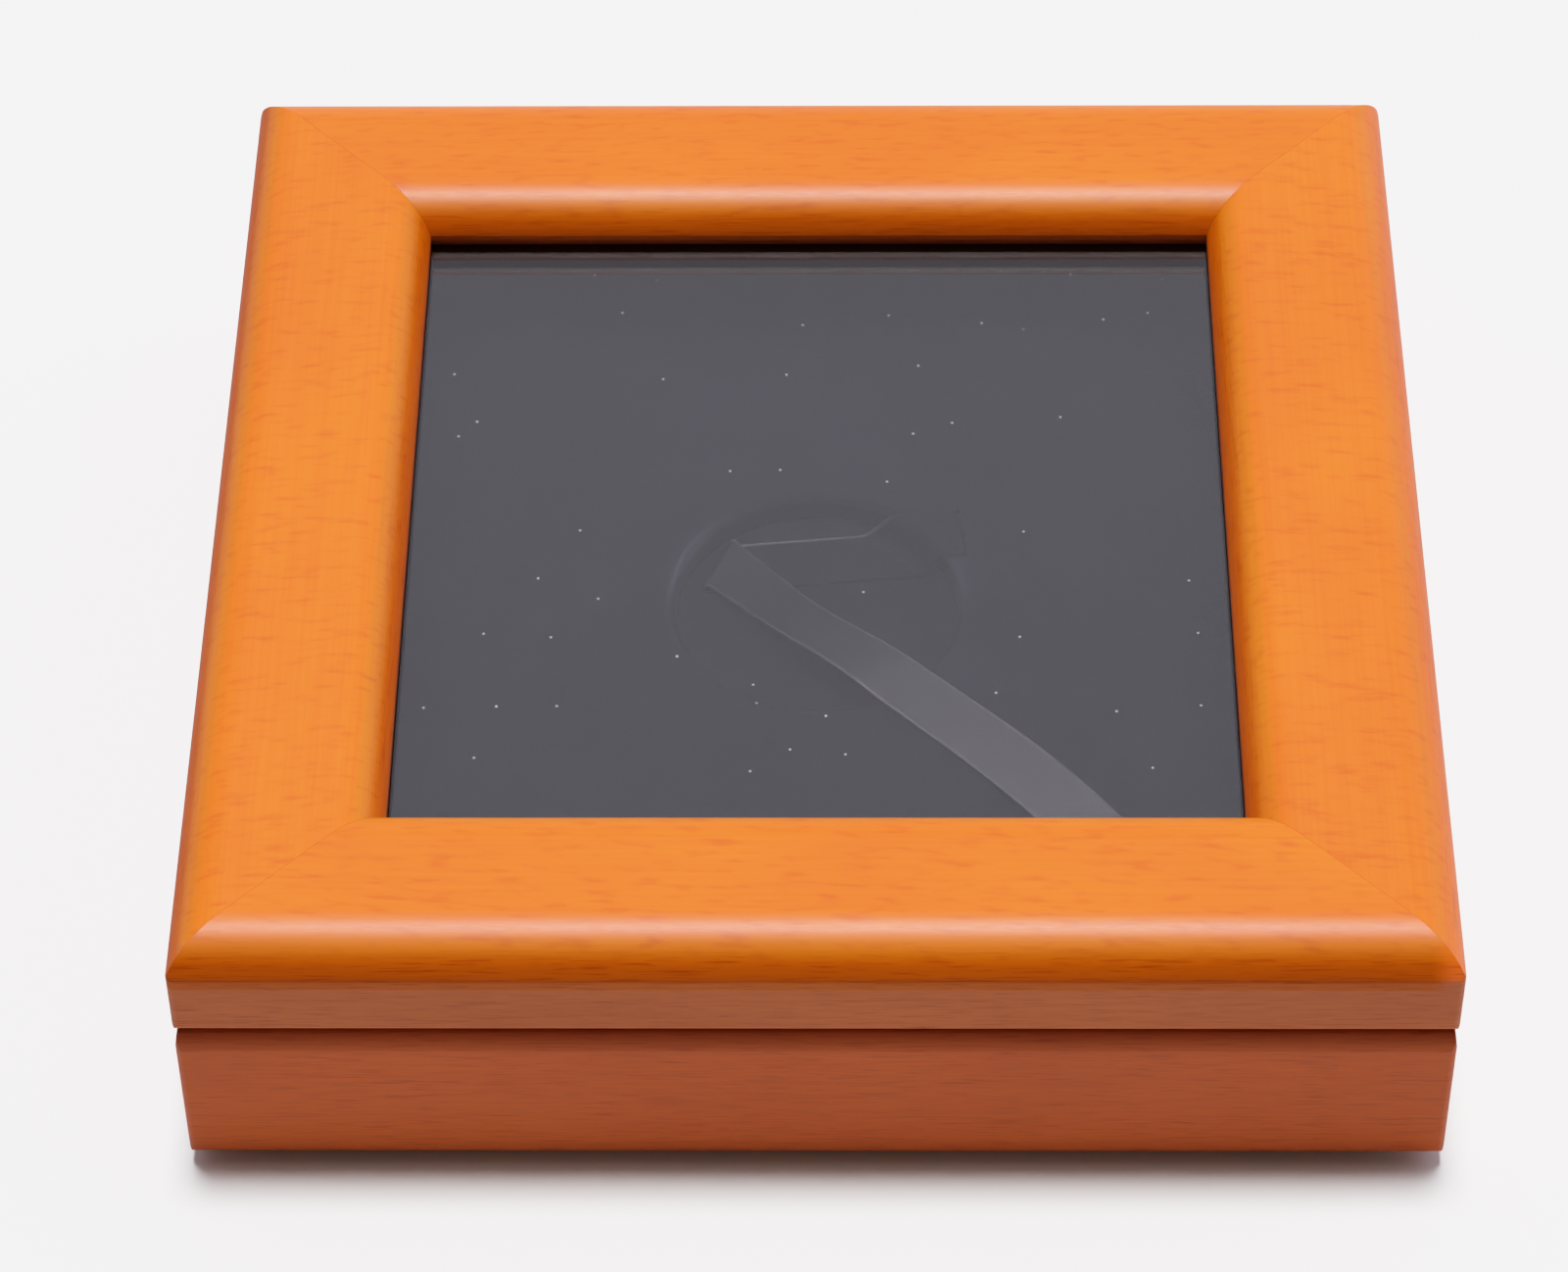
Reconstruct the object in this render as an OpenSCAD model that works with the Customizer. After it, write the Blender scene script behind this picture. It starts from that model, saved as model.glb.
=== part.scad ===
// Glazed display case for one coin: a mitred hardwood box with a hinged picture-frame lid.
// Origin at the middle of the underside, +Z up, the front of the case towards -Y, hinges at +Y.

/* [Case] */
// Outside width of the case, left to right
case_w = 170; // [150:1:240]
// Outside depth of the case, front to back
case_d = 170; // [150:1:240]
// Height of the wooden base above its felt
base_h = 26.8; // [25:0.2:40]
// Height of the lid
lid_h = 16; // [14.4:0.2:20]
// Gap between the closed lid and the base
part_gap = 0.1; // [0.05:0.05:0.3]

/* [Lid moulding] */
// Width of the lid rails, from the outside face to the window
rail_w = 27.3; // [24:0.1:34]
// How far the outer rounding runs in over the top
outer_run = 7.4; // [5.6:0.1:9]
// How far the outer rounding drops down the outside face
outer_drop = 5.4; // [3:0.1:5.4]
// How far the inner rounding runs in over the top
inner_run = 7.2; // [6.2:0.1:9]
// How far the inner rounding drops down to the window lip
inner_drop = 5.5; // [3:0.1:6]
// Upright lip between the inner rounding and the glass
lip_h = 1.7; // [1:0.1:2]
// Radius of the softened long edges where lid and base meet
edge_r = 1.1; // [0.6:0.1:1.6]
// Rounding of the upright outside corners of lid and base
corner_r = 1; // [0.4:0.1:1.4]
// Glue line left open at each mitre
mitre_gap = 0.02; // [0:0.01:0.1]

/* [Glazing] */
// Thickness of the glass
glass_t = 3; // [2:0.1:3.4]
// Width of the rebate that holds the glass
rebate_w = 5.5; // [4:0.1:8]
// Play between the glass and each side of its rebate
glass_play = 0.6; // [0.3:0.1:1.2]
// How far the glazing beads stop short of the underside of the lid
bead_set = 1.2; // [0.2:0.1:1.4]

/* [Base] */
// Thickness of the base sides
side_t = 13; // [12:0.5:17]
// Height of the set-back band along the top of the base
band_h = 4; // [3:0.1:5]
// How far the top of that band is set back
band_set = 0.6; // [0.3:0.1:1]
// Radius of the softened bottom edge of the base
foot_r = 1.8; // [1:0.1:2.2]
// Thickness of the bottom panel
panel_t = 4; // [3:0.5:6]
// Width of the rebate that the bottom panel sits in
panel_rebate = 6; // [4:0.5:8]
// Play round the bottom panel
panel_play = 0.3; // [0.1:0.1:0.6]
// Thickness of the felt on the underside
felt_t = 2; // [0.6:0.1:3]
// How far the felt stops short of the outside faces
felt_inset = 4; // [1:0.5:6]

/* [Insert] */
// Depth from the rim of the base down to the velvet
insert_drop = 8.8; // [7:0.2:10.4]
// Diameter of the coin recess, inside its velvet
recess_d = 41.1; // [36:0.1:46]
// Depth of the coin recess
recess_depth = 4; // [3:0.1:5]
// Thickness of the velvet
velvet_t = 0.4; // [0.3:0.05:0.6]
// Rounding of the velvet over the rim of the recess
rim_r = 1.4; // [0.8:0.1:1.8]
// Play between the insert and the sides of the base
insert_play = 0.3; // [0.2:0.1:0.6]

/* [Ribbon] */
// Width of the lifting ribbon
ribbon_w = 9; // [6:0.5:10]
// Thickness of the ribbon
ribbon_t = 0.3; // [0.2:0.05:0.4]
// Play round the ribbon in its slit
slit_play = 0.4; // [0.3:0.1:0.6]
// Gap under the ribbon where it lies on the velvet
ribbon_lift = 0.15; // [0.1:0.05:0.3]
// Distance of the ribbon's free end from the front wall of the base
tail_gap = 15; // [10:1:20]

/* [Hinges] */
// Length of each butt hinge
hinge_len = 25.4; // [20:0.2:30]
// Distance of the middle of each hinge from its side of the case
hinge_inset = 33; // [31:1:50]
// Distance of the hinge axis from the back face
hinge_set = 4; // [3.6:0.1:4.4]
// Angle at which the bevelled back edges stop the lid
open_angle = 95; // [90:1:100]
// Width of a hinge leaf from the hinge axis
leaf_w = 7.6; // [7.2:0.1:8]
// Thickness of a hinge leaf
leaf_t = 1; // [0.8:0.1:1.2]
// Outside diameter of the hinge knuckles
knuckle_d = 3.8; // [3.4:0.1:4]
// Number of knuckles on each hinge
knuckle_n = 5; // [3:2:5]
// Diameter of the hinge pin
pin_d = 1.6; // [1.4:0.1:1.8]
// Clearance of the pin and of the ends of the knuckles
hinge_play = 0.06; // [0.04:0.01:0.08]
// Clearance of the leaves and knuckles in the wood
mortise_play = 0.15; // [0.1:0.05:0.25]

/* [Screws] */
// Diameter of the hinge screws
screw_d = 2; // [1.6:0.1:2.2]
// Diameter of the countersunk screw heads
screw_head_d = 3.8; // [3.4:0.1:4]
// Length of the hinge screws
screw_l = 8; // [6:0.5:10]
// Distance between the two screws of a leaf
screw_pitch = 15; // [12:0.5:16]
// Clearance round the screws
screw_play = 0.05; // [0.03:0.01:0.08]

/* [Mitre splines] */
// Thickness of the hidden splines in the mitres
spline_t = 2.4; // [2:0.1:3]
// Width of the lid splines across the mitre
lid_spline_w = 10; // [8:0.5:11]
// Width of the base splines across the mitre
base_spline_w = 8; // [6:0.5:9]
// Length of the lid splines along the mitre
lid_spline_l = 14; // [10:1:16]
// Height of the base splines
base_spline_h = 13; // [9:0.5:14]
// Height of the base splines above the bottom panel
base_spline_up = 1.5; // [1:0.5:3]
// Play of the splines in their slots
spline_play = 0.1; // [0.05:0.05:0.2]

/* [Hidden] */
$fn = 96;

STAIN = "#d9822f";
BRASS = "#c9a14a";
BLACK = "#2b2a2d";
PLY = "#c8a878";
BOARD = "#8a7355";

// Levels
base_top = felt_t + base_h;
lid_z = base_top + part_gap;
lid_top = lid_z + lid_h;
hinge_z = base_top + part_gap / 2;
hinge_y = case_d / 2 - hinge_set;
glass_top = lid_top - inner_drop - lip_h;
glass_z = glass_top - glass_t;
floor_z = felt_t + panel_t;
insert_top = base_top - insert_drop;
recess_z = insert_top - recess_depth;

// Radii of the moulding's two roundings, each tangent to the flat top
outer_r = (pow(outer_run, 2) + pow(outer_drop, 2)) / (2 * outer_drop);
inner_r = (pow(inner_run, 2) + pow(inner_drop, 2)) / (2 * inner_drop);

inner_w = case_w - 2 * side_t;
inner_d = case_d - 2 * side_t;
window_w = case_w - 2 * rail_w;
window_d = case_d - 2 * rail_w;
recess_r = recess_d / 2;
board_hole_r = recess_r + velvet_t;
insert_w = inner_w - 2 * insert_play;
insert_d = inner_d - 2 * insert_play;

// Room that a cutter runs past the face it cuts
over = 1;

// The bevels stop the lid a hair past its open angle
bevel = open_angle / 2 + 0.25;
knuckle_r = knuckle_d / 2;
knuckle_pitch = hinge_len / knuckle_n;
knuckle_room = knuckle_r + mortise_play;
screw_y = hinge_y - leaf_w / 2 - knuckle_r / 2;
head_h = (screw_head_d - screw_d) / 2;

// Plan of one mitred piece of a frame, its outside edge towards -Y, w long and t wide
module mitre_plan(w, t) {
    polygon([[-w / 2 + mitre_gap, 0], [w / 2 - mitre_gap, 0],
             [w / 2 - t - mitre_gap, t], [-w / 2 + t + mitre_gap, t]]);
}

// A mitred piece, its profile drawn with x inwards from the outside face and y upwards
module mitred(w, t, h) {
    intersection() {
        translate([-w / 2, 0, 0]) rotate([90, 0, 90]) linear_extrude(w) children();
        translate([0, 0, -over]) linear_extrude(h + 2 * over) mitre_plan(w, t);
    }
}

// Places a piece made along the front on one of the four sides: 0 front, 1 right, 2 back, 3 left
module on_side(n) {
    rotate(90 * n) translate([0, n % 2 == 0 ? -case_d / 2 : -case_w / 2, 0]) children();
}

// Length of the side that on_side(n) stands for
function side_len(n) = n % 2 == 0 ? case_w : case_d;

// Cutter for a rounding that is tangent to the top and ends at the outside face
module round_cut(run, drop, r, top) {
    difference() {
        translate([-over, top - drop]) square([run + over, drop + over]);
        translate([run, top - r]) circle(r, $fn = 180);
    }
}

// Cutter for a softened lower outside edge
module arris_cut(r) {
    difference() {
        translate([-over, -over]) square(r + over);
        translate([r, r]) circle(r);
    }
}

// Cutters that soften the four upright corners of the case
module corner_cuts() {
    for (n = [0:3])
        rotate(90 * n) translate([-side_len(n) / 2, -side_len(n + 1) / 2, -over])
            linear_extrude(lid_top + 2 * over) arris_cut(corner_r);
}

// Section of the lid moulding
module lid_profile() {
    difference() {
        square([rail_w, lid_h]);
        round_cut(outer_run, outer_drop, outer_r, lid_h);
        translate([rail_w, 0]) mirror([1, 0]) round_cut(inner_run, inner_drop, inner_r, lid_h);
        arris_cut(edge_r);
        translate([rail_w - rebate_w, -over]) square([rebate_w + over, over + glass_top - lid_z]);
    }
}

// Section of the base moulding: a set-back band under a softened top edge
module base_profile() {
    slope = sqrt(pow(band_h, 2) + pow(band_set, 2));
    round_u = (edge_r * slope + (band_h - edge_r) * band_set) / band_h;
    round_v = base_h - edge_r;
    difference() {
        square([side_t, base_h]);
        polygon([[-over, base_h - band_h], [0, base_h - band_h], [band_set, base_h],
                 [band_set, base_h + over], [-over, base_h + over]]);
        difference() {
            translate([-over, round_v + edge_r * band_set / slope])
                square([round_u + over, edge_r + over]);
            translate([round_u, round_v]) circle(edge_r);
        }
        arris_cut(foot_r);
        translate([side_t - panel_rebate, -over]) square([panel_rebate + over, panel_t + over]);
    }
}

// V groove along the back edge, with its point on the hinge axis: up = 1 cuts the lid, -1 the base
module back_bevel(up) {
    reach = hinge_set + over;
    rise = up * reach * tan(bevel);
    translate([-case_w / 2 - over, hinge_y, hinge_z]) rotate([90, 0, 90])
        linear_extrude(case_w + 2 * over)
        polygon([[0, 0], [reach, rise], [reach, -up * over], [0, -up * over]]);
}

// The middles of the two hinges
function hinge_x(side) = side * (case_w / 2 - hinge_inset);

// Room for the knuckles of both hinges
module knuckle_cut() {
    for (side = [-1, 1])
        translate([hinge_x(side) - hinge_len / 2 - mortise_play, hinge_y, hinge_z])
            rotate([0, 90, 0]) cylinder(r = knuckle_room, h = hinge_len + 2 * mortise_play);
}

// Mortises for both leaves on one side of the parting: up = 1 for the lid, -1 for the base
module leaf_cut(up) {
    depth = leaf_t + mortise_play;
    for (side = [-1, 1])
        translate([hinge_x(side) - hinge_len / 2 - mortise_play,
                   hinge_y - leaf_w - mortise_play,
                   up > 0 ? lid_z - over : base_top - depth])
            cube([hinge_len + 2 * mortise_play, leaf_w + mortise_play, depth + over]);
}

// Where the four screws of one half of the hinges stand
module at_screws() {
    for (side = [-1, 1])
        for (end = [-1, 1])
            translate([hinge_x(side) + end * screw_pitch / 2, screw_y, 0]) children();
}

// A countersunk screw whose head is flush at z = 0, pointing down, grown all round by extra
module screw_shape(extra) {
    translate([0, 0, -head_h]) cylinder(r1 = screw_d / 2 + extra, r2 = screw_head_d / 2 + extra,
                                        h = head_h + (extra > 0 ? 0.001 : 0));
    translate([0, 0, -screw_l - extra]) cylinder(r = screw_d / 2 + extra, h = screw_l + extra);
}

// Faces of the leaves that the screw heads are flush with, a leaf's play below the parting
lid_leaf_z = lid_z + mortise_play / 2;
base_leaf_z = base_top - mortise_play / 2;

module lid_screws_at(extra) {
    translate([0, 0, lid_leaf_z]) mirror([0, 0, 1]) at_screws() screw_shape(extra);
}

module base_screws_at(extra) {
    translate([0, 0, base_leaf_z]) at_screws() screw_shape(extra);
}

// Places its child on the mitre of each of the four corners, turned across it
module at_mitres(inset) {
    for (sx = [-1, 1])
        for (sy = [-1, 1])
            translate([sx * (case_w / 2 - inset), sy * (case_d / 2 - inset), 0])
                rotate(sx * sy * 45) children();
}

// Flat splines across the lid's mitres, midway between the outside and the glass rebate
module lid_spline_set(extra) {
    inset = (rail_w - rebate_w) / 2;
    at_mitres(inset) translate([0, 0, lid_z + (glass_top - lid_z) / 2])
        cube([lid_spline_l + 2 * extra, lid_spline_w + 2 * extra, spline_t + 2 * extra],
             center = true);
}

// Upright splines across the base's mitres
module base_spline_set(extra) {
    inset = side_t / 2 + band_set;
    at_mitres(inset) translate([0, 0, floor_z + base_spline_up + base_spline_h / 2])
        cube([spline_t + 2 * extra, base_spline_w + 2 * extra, base_spline_h + 2 * extra],
             center = true);
}

// One rail of the lid with its cuts
module lid_rail(n) {
    color(STAIN) difference() {
        on_side(n) translate([0, 0, lid_z]) mitred(side_len(n), rail_w, lid_h) lid_profile();
        corner_cuts();
        lid_spline_set(spline_play);
        back_bevel(1);
        if (n == 2) {
            knuckle_cut();
            leaf_cut(1);
            lid_screws_at(screw_play);
        }
    }
}

module lid_rail_front() { lid_rail(0); }
module lid_rail_right() { lid_rail(1); }
module lid_rail_back() { lid_rail(2); }
module lid_rail_left() { lid_rail(3); }

module lid_splines() { color(PLY) lid_spline_set(0); }

// The glass lies in the rebate, up against the lip
module glass_pane() {
    w = window_w + 2 * (rebate_w - glass_play);
    d = window_d + 2 * (rebate_w - glass_play);
    color([0.8, 0.9, 0.9, 0.3]) translate([-w / 2, -d / 2, glass_z]) cube([w, d, glass_t]);
}

// Glazing bead: a mitred strip with a rounded inner edge, in the rebate under the glass
module glazing_bead(n) {
    h = glass_z - lid_z - bead_set;
    round_r = min(h, rebate_w) / 3;
    outer = side_len(n) - 2 * (rail_w - rebate_w);
    color(BLACK) rotate(90 * n)
        translate([0, -side_len(n + 1) / 2 + rail_w - rebate_w, lid_z + bead_set])
        mitred(outer, rebate_w, h) difference() {
            square([rebate_w, h]);
            translate([rebate_w, 0]) mirror([1, 0]) arris_cut(round_r);
        }
}

module glazing_bead_front() { glazing_bead(0); }
module glazing_bead_right() { glazing_bead(1); }
module glazing_bead_back() { glazing_bead(2); }
module glazing_bead_left() { glazing_bead(3); }

// One side of the base with its cuts
module base_side(n) {
    color(STAIN) difference() {
        on_side(n) translate([0, 0, felt_t]) mitred(side_len(n), side_t, base_h) base_profile();
        corner_cuts();
        base_spline_set(spline_play);
        back_bevel(-1);
        if (n == 2) {
            knuckle_cut();
            leaf_cut(-1);
            base_screws_at(screw_play);
        }
    }
}

module base_side_front() { base_side(0); }
module base_side_right() { base_side(1); }
module base_side_back() { base_side(2); }
module base_side_left() { base_side(3); }

module base_splines() { color(PLY) base_spline_set(0); }

// Bottom panel, let into the rebate flush with the underside of the sides
module base_panel() {
    w = inner_w + 2 * (panel_rebate - panel_play);
    d = inner_d + 2 * (panel_rebate - panel_play);
    color(PLY) translate([-w / 2, -d / 2, felt_t]) cube([w, d, panel_t]);
}

// Felt over the whole underside, its corners nipped round
module base_felt() {
    w = case_w - 2 * felt_inset;
    d = case_d - 2 * felt_inset;
    r = 2 * felt_inset;
    color(BLACK) linear_extrude(felt_t) {
        square([w - 2 * r, d], center = true);
        square([w, d - 2 * r], center = true);
        for (sx = [-1, 1])
            for (sy = [-1, 1])
                translate([sx * (w / 2 - r), sy * (d / 2 - r)]) circle(r);
    }
}

// Block that carries the insert at its height
module insert_riser() {
    h = recess_z - velvet_t - floor_z;
    color(BOARD) translate([-insert_w / 2, -insert_d / 2, floor_z]) cube([insert_w, insert_d, h]);
}

// Velvet on the block, which makes the floor of the recess
module recess_velvet() {
    color(BLACK) translate([-insert_w / 2, -insert_d / 2, recess_z - velvet_t])
        cube([insert_w, insert_d, velvet_t]);
}

// Slit that the ribbon's fixed end goes down
module ribbon_slit(extra) {
    translate([ribbon_anchor[0] * recess_r, ribbon_anchor[1] * recess_r,
               recess_z + recess_depth / 2])
        rotate(back_dir)
        cube([ribbon_t + 2 * slit_play + 2 * extra, ribbon_w + 2 * slit_play + 2 * extra,
              recess_depth + 2 * over], center = true);
}

// Section of the recess wall from the axis outwards, its rim rounded by r
module recess_section(wall_r, top, r) {
    difference() {
        translate([0, recess_z - over]) square([wall_r + r, top - recess_z + 2 * over]);
        translate([wall_r, recess_z - 2 * over])
            square([r + over, top - recess_z + 2 * over - r]);
        translate([wall_r + r, top - r]) circle(r);
    }
}

// Board with the round hole for the coin
module insert_board() {
    w = insert_w - 2 * velvet_t;
    d = insert_d - 2 * velvet_t;
    top = insert_top - velvet_t;
    color(BOARD) difference() {
        translate([-w / 2, -d / 2, recess_z]) cube([w, d, top - recess_z]);
        rotate_extrude() recess_section(board_hole_r, top, rim_r - velvet_t);
        ribbon_slit(velvet_t);
    }
}

// Velvet drawn over the board, down its edges and down the wall of the hole
module insert_velvet() {
    w = insert_w - 2 * velvet_t;
    d = insert_d - 2 * velvet_t;
    top = insert_top - velvet_t;
    color(BLACK) difference() {
        translate([-insert_w / 2, -insert_d / 2, recess_z])
            cube([insert_w, insert_d, recess_depth]);
        difference() {
            translate([-w / 2, -d / 2, recess_z - over]) cube([w, d, top - recess_z + over]);
            rotate_extrude() recess_section(board_hole_r, top, rim_r - velvet_t);
        }
        rotate_extrude() recess_section(recess_r, insert_top, rim_r);
        ribbon_slit(0);
    }
}

// Route of the ribbon's middle, in recess radii from the recess centre: it comes up out of its
// slit, lies across the recess, folds over near the left wall and runs out over the front rim.
ribbon_anchor = [1.01, 0.66];
ribbon_fold = [-0.66, 0.5];
ribbon_exit = [0.58, -0.75];
fold_turn = 71;
fold_h = 0.9;

// Height of a lying ribbon at x, y: on the recess floor, or over its rim and on the velvet
function smooth(a, b, v) = let (t = max(0, min(1, (v - a) / (b - a)))) t * t * (3 - 2 * t);
function drape(x, y) = recess_z + ribbon_lift + recess_depth
    * smooth(0.85 * recess_r, recess_r, norm([x, y])) * smooth(-0.1 * recess_r, 0.35 * recess_r, x);

// A point of the ribbon, k from -1 to 1 across it: turn is the way across, skew its angle to the run
function across(p, turn, skew, k) =
    p + k * ribbon_w / 2 / sin(skew) * [cos(turn), sin(turn)];

function mix(a, b, t) = a + (b - a) * t;

fold_p = ribbon_fold * recess_r;
anchor_p = ribbon_anchor * recess_r;
exit_p = ribbon_exit * recess_r;
back_dir = atan2(fold_p[1] - anchor_p[1], fold_p[0] - anchor_p[0]);
front_dir = atan2(exit_p[1] - fold_p[1], exit_p[0] - fold_p[0]);
tail_y = -inner_d / 2 + tail_gap;
tail_dir = -49;
tail_bow = 2;
tail_l = (tail_y - exit_p[1]) / sin(tail_dir);

// Height of the fold, tilt of the run over the recess, wave and lifted end of the tail
fold_z = recess_z + ribbon_lift + ribbon_t;
over_roll = 0.9;
tail_wave = 1;
tail_lift = 0.8;

steps = 14;
fold_steps = 6;
lanes = [-1, -0.5, 0, 0.5, 1];

// Under run, from the slit to the fold, with its lane surface on top
function under_row(i) = let (
    t = i / steps,
    p = mix(anchor_p, fold_p, t),
    turn = mix(back_dir + 90, fold_turn - 180, smooth(0.75, 1, t)),
    skew = turn - back_dir)
    [for (k = lanes) let (q = across(p, turn, skew, k))
        [q[0], q[1], drape(q[0], q[1]) + ribbon_t]];

// Down run in the slit, deepest first
function slit_row(i) = let (z = insert_top - recess_depth * (0.75 - 0.25 * i))
    [for (k = lanes) let (q = across(anchor_p, back_dir + 90, 90, k)) [q[0], q[1], z]];

// Half turn round the fold line, bulging past it
function fold_row(i) = let (
    a = 180 * i / fold_steps,
    out = fold_h / 2 * sin(a),
    z = fold_z + fold_h / 2 * (1 - cos(a)))
    [for (k = lanes) let (q = across(fold_p, fold_turn - 180, fold_turn - 180 - back_dir, k))
        [q[0] - out * sin(fold_turn), q[1] + out * cos(fold_turn), z]];

// Over run, from the fold across the recess to its front rim
function over_row(i) = let (
    t = i / steps,
    p = mix(fold_p, exit_p, t),
    turn = mix(fold_turn - 180, front_dir - 90, smooth(0, 0.35, t)),
    skew = front_dir - turn,
    rise = mix(fold_h + ribbon_t, recess_depth, smooth(0.3, 0.95, t)) - ribbon_t * (1 - t))
    [for (k = lanes) let (q = across(p, turn, skew, k)) [q[0], q[1],
        max(fold_z + rise - ribbon_t * t + k * over_roll * sin(180 * t), drape(q[0], q[1]))]];

// Tail, bowed a little, lying out on the velvet with a slow wave and a lifted end
function tail_row(i) = let (
    t = i / steps,
    side = 4 * tail_bow * t * (1 - t),
    p = exit_p + tail_l * t * [cos(tail_dir), sin(tail_dir)]
        - side * [sin(tail_dir), -cos(tail_dir)],
    bowed = tail_dir + atan(4 * tail_bow * (1 - 2 * t) / tail_l),
    dir = mix(front_dir, bowed, smooth(0, 0.25, t)),
    wave = tail_wave * (1 - cos(360 * t)) / 2 + tail_lift * smooth(0.8, 1, t))
    [for (k = lanes) let (q = across(p, dir - 90, 90, k)) [q[0], q[1],
        insert_top + ribbon_lift + wave * (1 + 0.4 * k)]];

ribbon_rows = concat([for (i = [0:1]) slit_row(i)], [for (i = [0:steps - 1]) under_row(i)],
                     [for (i = [0:fold_steps]) fold_row(i)], [for (i = [1:steps - 1]) over_row(i)],
                     [for (i = [0:steps]) tail_row(i)]);

// Unit normal of the ribbon's face at row i, lane j
function row_at(i) = ribbon_rows[max(0, min(len(ribbon_rows) - 1, i))];
function lane_at(i, j) = row_at(i)[max(0, min(len(lanes) - 1, j))];
function unit(v) = v / norm(v);
function face_normal(i, j) = unit(cross(lane_at(i, j + 1) - lane_at(i, j - 1),
                                        lane_at(i + 1, j) - lane_at(i - 1, j)));

module lift_ribbon() {
    n = len(ribbon_rows);
    m = len(lanes);
    ring = 2 * m;
    points = [for (i = [0:n - 1]) each concat(
        [for (j = [0:m - 1]) lane_at(i, j) + face_normal(i, j) * ribbon_t],
        [for (j = [m - 1:-1:0]) lane_at(i, j)])];
    walls = [for (i = [0:n - 2]) each [for (j = [0:ring - 1]) let (
        a = i * ring + j,
        b = i * ring + (j + 1) % ring) each [[a, b + ring, b], [a, a + ring, b + ring]]]];
    ends = [for (j = [0:m - 2]) each [
        [j, ring - 2 - j, ring - 1 - j], [j, j + 1, ring - 2 - j]]];
    last = (n - 1) * ring;
    far_ends = [for (f = ends) [last + f[2], last + f[1], last + f[0]]];
    color(BLACK) polyhedron(points, concat(walls, ends, far_ends));
}

// One leaf of a butt hinge: up = 1 for the lid, with the even knuckles, -1 for the base
module hinge_leaf(side, up) {
    first = up > 0 ? 1 : 0;
    x0 = hinge_x(side) - hinge_len / 2;
    plate_z = up > 0 ? lid_leaf_z : base_leaf_z - leaf_t;
    color(BRASS) difference() {
        union() {
            translate([x0, hinge_y - leaf_w, plate_z]) cube([hinge_len, leaf_w, leaf_t]);
            for (k = [first:2:knuckle_n - 1])
                translate([x0 + k * knuckle_pitch, hinge_y, hinge_z])
                    rotate([0, 90, 0]) cylinder(r = knuckle_r, h = knuckle_pitch);
        }
        for (k = [1 - first:2:knuckle_n - 1])
            translate([x0 + k * knuckle_pitch - hinge_play, hinge_y, hinge_z]) rotate([0, 90, 0])
                cylinder(r = knuckle_room, h = knuckle_pitch + 2 * hinge_play);
        translate([x0 - over, hinge_y, hinge_z]) rotate([0, 90, 0])
            cylinder(r = pin_d / 2 + hinge_play, h = hinge_len + 2 * over);
        if (up > 0) lid_screws_at(screw_play);
        else base_screws_at(screw_play);
    }
}

module hinge_leaf_lid_left() { hinge_leaf(-1, 1); }
module hinge_leaf_lid_right() { hinge_leaf(1, 1); }
module hinge_leaf_base_left() { hinge_leaf(-1, -1); }
module hinge_leaf_base_right() { hinge_leaf(1, -1); }

module hinge_pin(side) {
    color(BRASS) translate([hinge_x(side) - hinge_len / 2, hinge_y, hinge_z])
        rotate([0, 90, 0]) cylinder(d = pin_d, h = hinge_len);
}

module hinge_pin_left() { hinge_pin(-1); }
module hinge_pin_right() { hinge_pin(1); }

module lid_hinge_screws() { color(BRASS) lid_screws_at(0); }
module base_hinge_screws() { color(BRASS) base_screws_at(0); }

lid_rail_front();
lid_rail_back();
lid_rail_left();
lid_rail_right();
lid_splines();
glass_pane();
glazing_bead_front();
glazing_bead_back();
glazing_bead_left();
glazing_bead_right();
hinge_leaf_lid_left();
hinge_leaf_lid_right();
lid_hinge_screws();
base_side_front();
base_side_back();
base_side_left();
base_side_right();
base_splines();
base_panel();
base_felt();
insert_riser();
recess_velvet();
insert_board();
insert_velvet();
lift_ribbon();
hinge_leaf_base_left();
hinge_leaf_base_right();
hinge_pin_left();
hinge_pin_right();
base_hinge_screws();
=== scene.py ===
"""Coin display case: stained beech box with a glazed lid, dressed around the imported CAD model."""

import math

import bmesh
import bpy
import numpy as np
from mathutils import Matrix, Vector


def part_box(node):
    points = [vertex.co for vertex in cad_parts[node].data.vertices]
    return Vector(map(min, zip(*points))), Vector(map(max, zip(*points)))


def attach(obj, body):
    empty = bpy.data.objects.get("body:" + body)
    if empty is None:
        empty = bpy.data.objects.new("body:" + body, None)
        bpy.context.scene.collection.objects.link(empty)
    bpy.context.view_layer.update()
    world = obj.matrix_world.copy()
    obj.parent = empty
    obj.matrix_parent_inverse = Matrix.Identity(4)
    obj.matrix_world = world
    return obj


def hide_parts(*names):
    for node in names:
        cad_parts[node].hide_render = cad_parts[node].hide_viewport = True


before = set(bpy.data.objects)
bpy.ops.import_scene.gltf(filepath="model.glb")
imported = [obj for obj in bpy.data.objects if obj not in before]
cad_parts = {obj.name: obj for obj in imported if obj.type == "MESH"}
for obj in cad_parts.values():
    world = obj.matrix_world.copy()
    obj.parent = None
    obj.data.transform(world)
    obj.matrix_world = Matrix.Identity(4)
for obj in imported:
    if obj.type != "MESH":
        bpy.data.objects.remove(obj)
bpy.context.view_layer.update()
MM = 0.001

# Sizes in mm that the soft pieces share with the case; the rest come from the nodes' boxes
RECESS_R = 41.1 / 2
RECESS_DEPTH = 4.0
RIM_R = 1.4
VELVET_T = 0.4
INNER_D = 144.0

# The ribbon, in mm: how far it lies off the velvet, the play in its slit, its end from the inner wall
RIBBON_W = 9.0
RIBBON_T = 0.3
RIBBON_LIFT = 0.15
SLIT_PLAY = 0.15
TAIL_GAP = 15.0

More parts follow.
